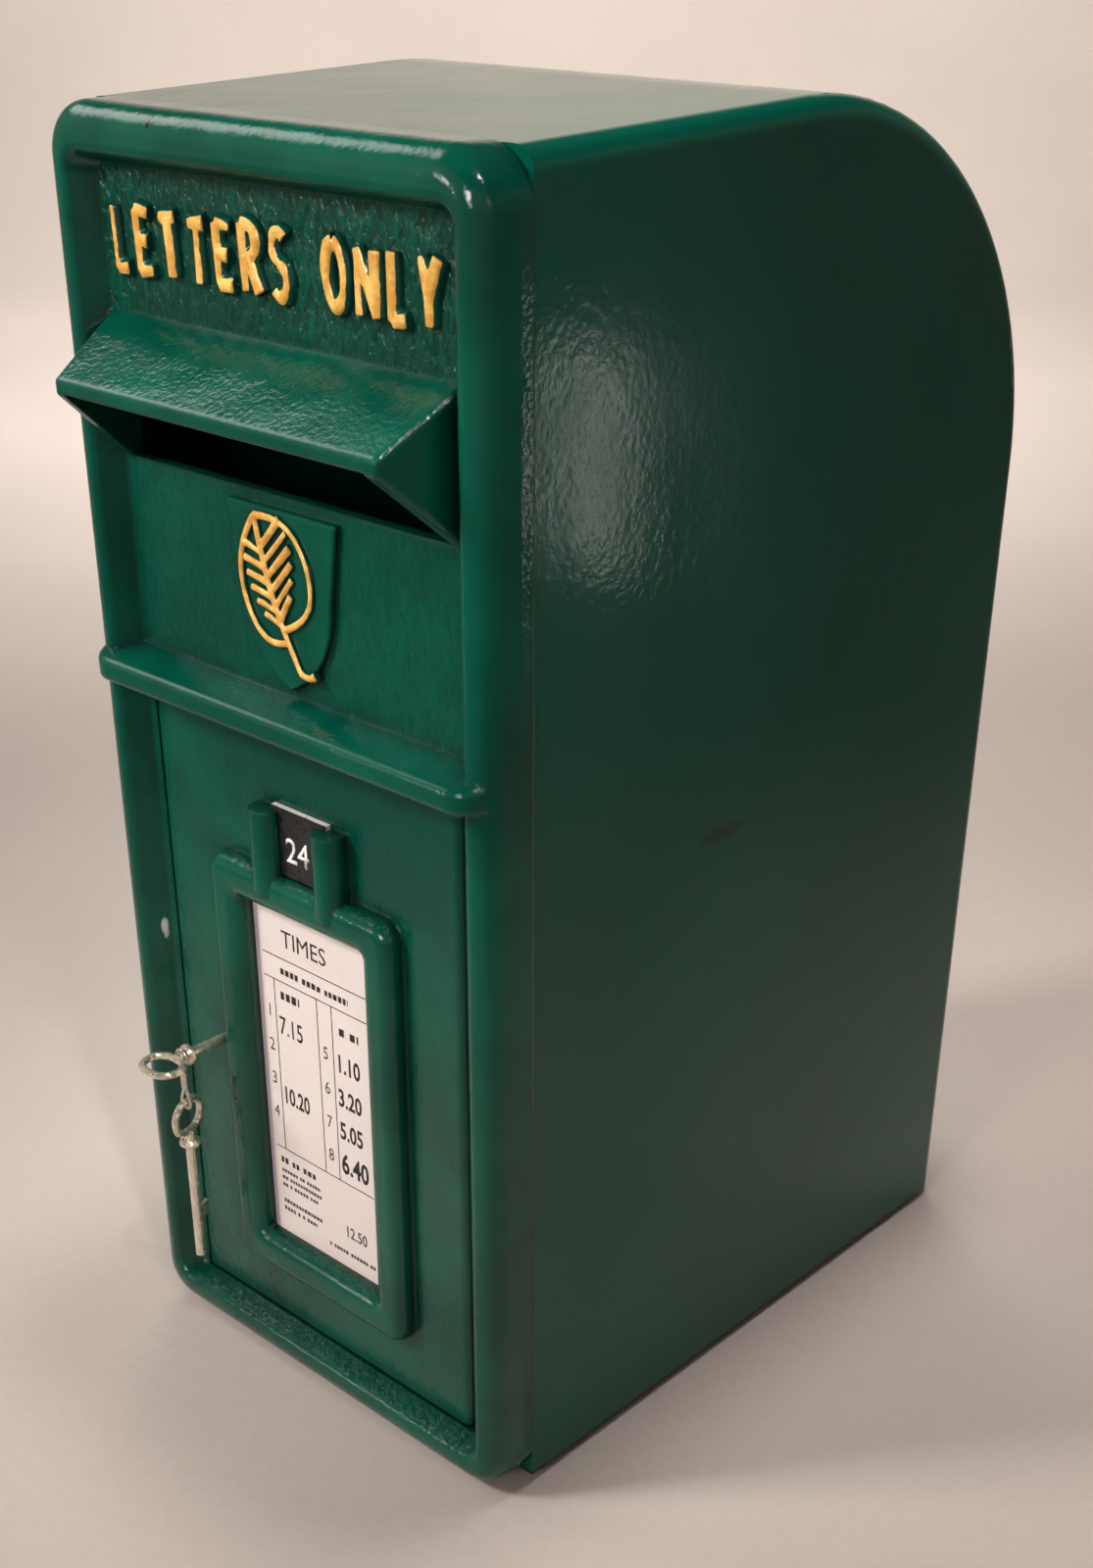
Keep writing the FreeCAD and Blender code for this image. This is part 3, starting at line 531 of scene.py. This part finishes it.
# Strokes of each capital in a box 1 high, with its width first.
CAPITALS = {
    "L": (0.38, [[(0.0, 1.0), (0.03, 0.0)], [(0.03, 0.0), (0.38, 0.04)]]),
    "E": (0.40, [[(0.0, 1.0), (0.02, 0.0)], [(0.0, 1.0), (0.40, 0.96)], [(0.0, 0.52), (0.31, 0.50)],
                 [(0.02, 0.0), (0.42, 0.04)]]),
    "T": (0.46, [[(0.0, 0.96), (0.46, 1.0)], [(0.23, 0.98), (0.25, 0.0)]]),
    "R": (0.42, [[(0.02, 0.0), (0.0, 1.0)],
                 [(0.0, 1.0)] + arc_points(0.17, 0.755, 0.23, 0.235, 90, -90, 7) + [(0.02, 0.50)],
                 [(0.16, 0.50), (0.43, 0.0)]]),
    "S": (0.42, [arc_points(0.22, 0.75, 0.19, 0.235, 35, 270, 8)
                 + arc_points(0.22, 0.25, 0.20, 0.245, 90, -145, 8)]),
    "O": (0.48, [arc_points(0.24, 0.5, 0.24, 0.5, 90, 450, 15)]),
    "N": (0.46, [[(0.0, 0.0), (0.0, 1.0)], [(0.0, 1.0), (0.45, 0.0)], [(0.45, 0.0), (0.46, 1.0)]]),
    "Y": (0.44, [[(0.0, 1.0), (0.21, 0.48)], [(0.44, 1.0), (0.21, 0.48)], [(0.21, 0.48), (0.22, 0.0)]]),
}
CAPITAL_GAP = 0.36
WORD_GAP = 0.72

# How far the capitals stray from each other: lean, drop in millimetres, and least and most height.
CAPITAL_LEAN = 0.05
CAPITAL_DROP = 0.7
CAPITAL_GROWTH = (0.96, 1.05)

# The word: foot and head of its capitals, half its width, half width of a stroke, how proud it stands and
# how deep it is gilded.
WORD_LOW, WORD_HIGH = 521.5, 545.0
WORD_HALF = 93.0
WORD_BEAD = 3.6
WORD_PROUD = 3.4
WORD_GILT = 0.85

# The quill: ends of its shaft across and up, barbs on each side, bow of the shaft, and its bead as above.
QUILL_FOOT = Vector((9.0, 375.0))
QUILL_TIP = Vector((-15.0, 436.0))
QUILL_BARBS = 6
QUILL_BOW = 4.0
QUILL_BEAD = 1.9
QUILL_PROUD = 2.0
QUILL_GILT = 0.8
BARBS_FROM, BARBS_SPAN = 0.34, 0.46


def curve_mesh(curve):
    """The mesh of a curve or text, which is then deleted."""
    guide = add_object(curve.name + "_guide", curve)
    graph = bpy.context.evaluated_depsgraph_get()
    mesh = bpy.data.meshes.new_from_object(guide.evaluated_get(graph))
    bpy.data.objects.remove(guide)
    bpy.data.curves.remove(curve)
    return mesh


def applied(piece):
    """Bakes a piece's modifiers into its mesh."""
    graph = bpy.context.evaluated_depsgraph_get()
    baked = bpy.data.meshes.new_from_object(piece.evaluated_get(graph))
    piece.modifiers.clear()
    rough = piece.data
    piece.data = baked
    bpy.data.meshes.remove(rough)
    return piece


def bead_piece(name, strokes, plane_y, half_width, proud, voxel, smoothing, wobble, rng):
    """One skin over round strokes drawn in a plane, flattened to a low bead and melted together."""
    curve = bpy.data.curves.new(name, "CURVE")
    curve.dimensions = "3D"
    curve.bevel_depth = half_width * MM
    curve.bevel_resolution = 4
    curve.use_fill_caps = True
    curve.resolution_u = 8
    for stroke in strokes:
        spline = curve.splines.new("NURBS")
        spline.points.add(len(stroke) - 1)
        for point, (x, z) in zip(spline.points, stroke):
            point.co = (*place(x, plane_y, z), 1.0)
            point.radius = rng.uniform(1.0 - wobble, 1.0 + wobble)
        spline.order_u = min(3, len(stroke))
        spline.use_endpoint_u = True
    mesh = curve_mesh(curve)
    flat = place(0, plane_y, 0).y
    for vertex in mesh.vertices:
        vertex.co.y = flat + (vertex.co.y - flat) * proud / half_width
    piece = add_object(name, mesh)
    melt = piece.modifiers.new("melt", "REMESH")
    melt.mode = "VOXEL"
    melt.voxel_size = voxel * MM
    melt.use_smooth_shade = True
    soften = piece.modifiers.new("soften", "SMOOTH")
    soften.factor = 0.5
    soften.iterations = smoothing
    return applied(piece)


def word_strokes(text, left, right, low, high, rng):
    """Strokes of hand-cut capitals that fill a width, each a little off its neighbours."""
    widths = [CAPITALS[c][0] if c != " " else WORD_GAP - CAPITAL_GAP for c in text]
    total = sum(widths) + CAPITAL_GAP * (len(text) - 1)
    size = high - low
    stretch = (right - left) / (total * size)
    strokes = []
    cursor = left
    for letter, width in zip(text, widths):
        if letter != " ":
            lean = rng.uniform(-CAPITAL_LEAN, CAPITAL_LEAN)
            drop = rng.uniform(-CAPITAL_DROP, CAPITAL_DROP)
            grow = rng.uniform(*CAPITAL_GROWTH)
            for stroke in CAPITALS[letter][1]:
                strokes.append([(cursor + (x + lean * z) * size * stretch, low + drop + z * size * grow)
                                for x, z in stroke])
        cursor += (width + CAPITAL_GAP) * size * stretch
    return strokes


def raised_word():
    rng = random.Random(WORD_SEED)
    strokes = word_strokes("LETTERS ONLY", -WORD_HALF, WORD_HALF, WORD_LOW, WORD_HIGH, rng)
    word = bead_piece("raised_word", strokes, PANEL_Y, WORD_BEAD, WORD_PROUD,
                      voxel=0.55, smoothing=4, wobble=0.16, rng=rng)
    gilding = gilt_relief("gilt_word", PANEL_Y - WORD_PROUD, WORD_GILT)
    finish_piece(word, "box", gilding)


def quill_strokes():
    """A quill: a bowed shaft, the two edges of its vane and slanting barbs between them."""
    span = QUILL_TIP - QUILL_FOOT
    across = Vector((-span.y, span.x)).normalized()

    def at(along, aside):
        point = QUILL_FOOT + span * along + across * (aside + QUILL_BOW * math.sin(math.pi * along))
        return point.x, point.y

    shaft = [at(0.0, 0), at(0.3, 0), at(0.65, 0), at(1.0, 0)]
    left = [at(0.20, 0), at(0.20, 13.0), at(0.52, 19.0), at(0.88, 13.0), at(1.0, 0)]
    right = [at(0.28, 0), at(0.28, -19.0), at(0.60, -29.0), at(0.94, -18.0), at(1.0, 0)]
    nib = [at(0.0, 0), at(-0.06, -3.0), at(-0.04, -8.0)]
    strokes = [shaft, left, right, nib]
    for i in range(QUILL_BARBS):
        along = BARBS_FROM + BARBS_SPAN * i / (QUILL_BARBS - 1)
        reach = math.sin(math.pi * (along - 0.12))
        strokes.append([at(along, 0), at(along + 0.06, -9.0 * reach), at(along + 0.13, -19.0 * reach)])
        strokes.append([at(along - 0.03, 0), at(along + 0.03, 6.0 * reach), at(along + 0.07, 11.5 * reach)])
    return strokes


def plaque_quill():
    quill = bead_piece("plaque_quill", quill_strokes(), PLAQUE_Y, QUILL_BEAD, QUILL_PROUD,
                       voxel=0.3, smoothing=3, wobble=0.15, rng=random.Random(QUILL_SEED))
    gilding = gilt_relief("gilt_quill", PLAQUE_Y - QUILL_PROUD, QUILL_GILT)
    finish_piece(quill, "box", gilding)


# Print on the notice and numerals on the tab

# Height of the built-in font's capitals at size 1, thickness of the ink, planes of the print and of the
# tab's figures, and where those figures start.
FONT_CAPITAL = 0.69
INK_THICKNESS = 0.04
PRINT_Y = CARD_Y - 0.06
FIGURES_Y = TAB_Y - 0.05
FIGURES_LEFT, FIGURES_FOOT = -9.5, 284.5

# The notice's large type: text, left, foot, height, narrowing and boldness.
NOTICE_TYPE = (
    ("TIMES", -22.0, 236.5, 8.6, 0.95, 0.0),
    ("7.15", -27.5, 189.0, 9.5, 0.72, 0.006),
    ("10.20", -28.0, 151.0, 9.0, 0.66, 0.020),
    ("1.10", 12.0, 184.5, 9.0, 0.72, 0.022),
    ("3.20", 12.0, 166.0, 9.0, 0.72, 0.022),
    ("5.05", 12.0, 148.0, 9.0, 0.72, 0.022),
    ("6.40", 12.0, 129.0, 10.5, 0.72, 0.026),
    ("12.50", 12.0, 92.0, 6.2, 0.78, 0.012),
)

# Row numbers: left and foot of each column's first, rows, step from row to row, height and narrowing.
ROW_NUMBERS = ((-35.5, 196.0), (3.0, 187.5))
ROWS = 4
ROW_STEP = 18.5
ROW_HEIGHT = 6.6
ROW_NARROW = 0.8

# Rules: their width, ends and levels, and the places of the upright ones between the lower two levels.
RULE = 0.55
RULE_LEFT, RULE_RIGHT = -36.0, 39.5
RULE_LEVELS = (229.5, 217.0, 123.0)
RULE_UPRIGHTS = (-29.5, 0.0, 10.0)

# Small print, shown as broken bars: left, right, foot and height of each line.
SMALL_PRINT = (
    (-24.0, 22.0, 221.5, 3.2), (-25.0, -12.0, 208.0, 4.4), (15.0, 28.0, 204.0, 4.4),
    (-33.0, -8.0, 114.5, 3.4), (-33.0, -5.0, 109.0, 2.0), (-33.0, -4.0, 104.8, 2.0),
    (-33.0, -7.0, 100.6, 2.0), (-33.0, -5.0, 91.0, 2.2), (-33.0, -9.0, 86.4, 2.2),
    (0.0, 34.0, 81.0, 2.2),
)

# A bar's width and height, and the gaps after it, as shares of its line's height. The last gap is a space.
BAR_WIDTH = (0.55, 0.85)
BAR_HEIGHT = (0.86, 1.0)
BAR_GAPS = (0.28, 0.28, 0.28, 0.9)


def type_mesh(text, x, y, z, height, narrow, bold=0.0):
    """Flat capitals or figures, left and foot at x and z, facing the front."""
    curve = bpy.data.curves.new("type", "FONT")
    curve.body = text
    curve.size = 1.0
    curve.offset = bold
    curve.resolution_u = 3
    mesh = curve_mesh(curve)
    scale = height / FONT_CAPITAL * MM
    origin = place(x, y, z)
    for vertex in mesh.vertices:
        vertex.co = origin + Vector((vertex.co.x * scale * narrow, 0, vertex.co.y * scale))
    return mesh


def bar_mesh(left, right, low, high):
    """A flat bar of print on the card."""
    mesh = bpy.data.meshes.new("bar")
    corners = [place(x, PRINT_Y, z) for x, z in ((left, low), (right, low), (right, high), (left, high))]
    mesh.from_pydata(corners, [], [(0, 1, 2, 3)])
    return mesh


def joined(name, meshes):
    """One piece from flat meshes that face the front, given the thickness of a coat of ink."""
    made = bmesh.new()
    for mesh in meshes:
        made.from_mesh(mesh)
        bpy.data.meshes.remove(mesh)
    bmesh.ops.recalc_face_normals(made, faces=made.faces)
    for face in made.faces:
        if face.normal.y > 0:
            face.normal_flip()
    bmesh.ops.solidify(made, geom=made.faces[:], thickness=INK_THICKNESS * MM)
    whole = bpy.data.meshes.new(name)
    made.to_mesh(whole)
    made.free()
    return add_object(name, whole)


def small_print(rng):
    """Lines of small print as bars of uneven width and height."""
    bars = []
    for left, right, low, height in SMALL_PRINT:
        cursor = left
        while cursor < right:
            width = height * rng.uniform(*BAR_WIDTH)
            high = low + height * rng.uniform(*BAR_HEIGHT)
            bars.append(bar_mesh(cursor, min(cursor + width, right), low, high))
            cursor += width + height * rng.choice(BAR_GAPS)
    return bars


def notice_print():
    """Plain timetable: a heading, ruled columns of figures, and lines of small print."""
    meshes = [type_mesh(text, x, PRINT_Y, z, *form) for text, x, z, *form in NOTICE_TYPE]
    for row in range(ROWS):
        for column, (left, foot) in enumerate(ROW_NUMBERS):
            number = str(row + 1 + column * ROWS)
            meshes.append(type_mesh(number, left, PRINT_Y, foot - ROW_STEP * row, ROW_HEIGHT, ROW_NARROW))
    for level in RULE_LEVELS:
        meshes.append(bar_mesh(RULE_LEFT, RULE_RIGHT, level, level + RULE))
    for x in RULE_UPRIGHTS:
        meshes.append(bar_mesh(x, x + RULE, RULE_LEVELS[2], RULE_LEVELS[1]))
    meshes += small_print(random.Random(PRINT_SEED))
    finish_piece(joined("notice_print", meshes), "door", printing_ink())


def tab_figures():
    figures = type_mesh("24", FIGURES_LEFT, FIGURES_Y, FIGURES_FOOT, height=11.5, narrow=0.95, bold=0.008)
    finish_piece(joined("tab_figures", [figures]), "door", engraved_white())


# Studio, in metres

COVE_RADIUS = 4.5
COVE_BEND = 1.2
COVE_HEIGHT = 4.8
COVE_TURNS = 96
COVE_BEND_STEPS = 10

# Lamps: place, aim, width and height, watts, spread in degrees, and whether gloss mirrors the lamp.
LAMPS = {
    "key_light": ((-0.95, -1.35, 1.45), (0.0, -0.1, 0.40), (0.4, 0.4), 3.7, 56, False),
    "fill": ((0.35, -1.9, 0.95), (0.0, -0.16, 0.36), (0.5, 0.5), 0.8, 34, True),
    "side_fill": ((1.7, -0.5, 0.9), (0.13, 0.0, 0.25), (0.4, 0.4), 0.05, 36, True),
    "sparkle": ((0.95, -0.66, 1.86), (0.04, -0.20, 0.46), (0.08, 0.08), 0.10, 17, True),
    "low_glint": ((-1.3, -1.9, 0.75), (0.0, -0.16, 0.4), (0.14, 0.14), 0.3, 50, True),
    "roof_box": ((-2.48, -0.63, 2.49), (0.0, -0.17, 0.5), (1.31, 1.10), 1.9, 60, True),
    "side_glow": ((1.1, 0.99, 0.13), (0.12, -0.10, 0.45), (0.045, 0.24), 0.056, 100, True),
    "overhead": ((0.10, 0.10, 2.2), (0.14, 0.12, 0.0), (0.3, 0.3), 2.0, 46, False),
    "floor_wash": ((-1.35, 1.25, 2.6), (-1.35, 1.25, 0.0), (1.0, 1.0), 24, 80, False),
    "backdrop": ((-1.7, 1.8, 3.0), (-2.8, 3.0, 0.9), (3.0, 3.0), 72, 104, False),
}
LAMP_TINT = (1.0, 0.97, 0.93)

# Lamps that light the wall: distance from the middle, height, height aimed at, size, spread, and watts for
# each direction in degrees.
WALL_LIGHT_RING, WALL_LIGHT_HIGH, WALL_LIGHT_AIM = 2.4, 3.0, 1.0
WALL_LIGHT_SIZE = (4.0, 1.0)
WALL_LIGHT_SPREAD = 130
WALL_LIGHT_TURNS = {45: 12, -45: 34, -135: 34}

AMBIENT_TINT = (0.85, 0.80, 0.76, 1.0)
AMBIENT_STRENGTH = 0.06


def ring_points(radius, z):
    turns = [2 * math.pi * i / COVE_TURNS for i in range(COVE_TURNS)]
    return [(radius * math.cos(t), radius * math.sin(t), z) for t in turns]


def cove():
    """Pale round floor that bends up into a wall, well clear of the camera on every side."""
    flat = COVE_RADIUS - COVE_BEND
    bends = [math.pi / 2 * i / COVE_BEND_STEPS for i in range(COVE_BEND_STEPS + 1)]
    profile = [(flat + COVE_BEND * math.sin(t), COVE_BEND * (1 - math.cos(t))) for t in bends]
    profile.append((COVE_RADIUS, COVE_HEIGHT))
    made = bmesh.new()
    rings = [[made.verts.new(point) for point in ring_points(radius, z)] for radius, z in profile]
    made.faces.new(rings[0])
    for inner, outer in zip(rings, rings[1:]):
        for i in range(COVE_TURNS):
            j = (i + 1) % COVE_TURNS
            made.faces.new((inner[i], outer[i], outer[j], inner[j])).smooth = True
    bmesh.ops.recalc_face_normals(made, faces=made.faces)
    mesh = bpy.data.meshes.new("floor")
    made.to_mesh(mesh)
    made.free()
    mesh.materials.append(floor_paint())
    add_object("floor", mesh)


def area_light(name, at, aim, size, watts, spread, mirrored):
    """A soft rectangular lamp that the camera doesn't see."""
    light = bpy.data.lights.new(name, "AREA")
    light.shape = "RECTANGLE"
    light.size, light.size_y = size
    light.energy = watts
    light.color = LAMP_TINT
    light.spread = math.radians(spread)
    lamp = add_object(name, light)
    lamp.location = at
    lamp.rotation_euler = (Vector(aim) - Vector(at)).to_track_quat("-Z", "Y").to_euler()
    lamp.visible_camera = False
    lamp.visible_glossy = mirrored


def wall_lights():
    """Lamps that keep the wall pale where the photograph's own view doesn't reach."""
    for turn, watts in WALL_LIGHT_TURNS.items():
        out = Vector((math.cos(math.radians(turn)), math.sin(math.radians(turn)), 0))
        at = out * WALL_LIGHT_RING + Vector((0, 0, WALL_LIGHT_HIGH))
        aim = out * COVE_RADIUS + Vector((0, 0, WALL_LIGHT_AIM))
        area_light(f"wall_light_{turn}", at, aim, WALL_LIGHT_SIZE, watts, WALL_LIGHT_SPREAD, False)


def lights():
    for name, lamp in LAMPS.items():
        area_light(name, *lamp)
    wall_lights()
    world = bpy.data.worlds.new("studio")
    world.use_nodes = True
    ambient = world.node_tree.nodes["Background"]
    ambient.inputs["Color"].default_value = AMBIENT_TINT
    ambient.inputs["Strength"].default_value = AMBIENT_STRENGTH
    bpy.context.scene.world = world


def camera():
    """The photograph's viewpoint: yaw turns the view left of +Y, pitch turns it down."""
    data = bpy.data.cameras.new("photo_camera")
    data.sensor_width = SENSOR
    data.lens = FOCAL_PIXELS / FRAME_HEIGHT * SENSOR
    data.shift_x, data.shift_y = (pixels / FRAME_HEIGHT for pixels in SHIFT_PIXELS)
    data.clip_start = CLIP_START
    level = Vector((-math.sin(CAMERA_YAW), math.cos(CAMERA_YAW), 0))
    ahead = level * math.cos(CAMERA_PITCH) + Vector((0, 0, -math.sin(CAMERA_PITCH)))
    right = ahead.cross(Vector((0, 0, 1))).normalized()
    up = right.cross(ahead)
    cos_roll, sin_roll = math.cos(CAMERA_ROLL), math.sin(CAMERA_ROLL)
    rolled_right = right * cos_roll + up * sin_roll
    rolled_up = up * cos_roll - right * sin_roll
    turn = Matrix((rolled_right, rolled_up, -ahead)).transposed()
    eye = add_object("photo_camera", data)
    eye.matrix_world = Matrix.Translation(CAMERA_AT) @ turn.to_4x4()
    bpy.context.scene.camera = eye


dress_nodes()
raised_word()
plaque_quill()
notice_print()
tab_figures()
cove()
lights()
camera()
bpy.context.scene.view_settings.view_transform = "Standard"
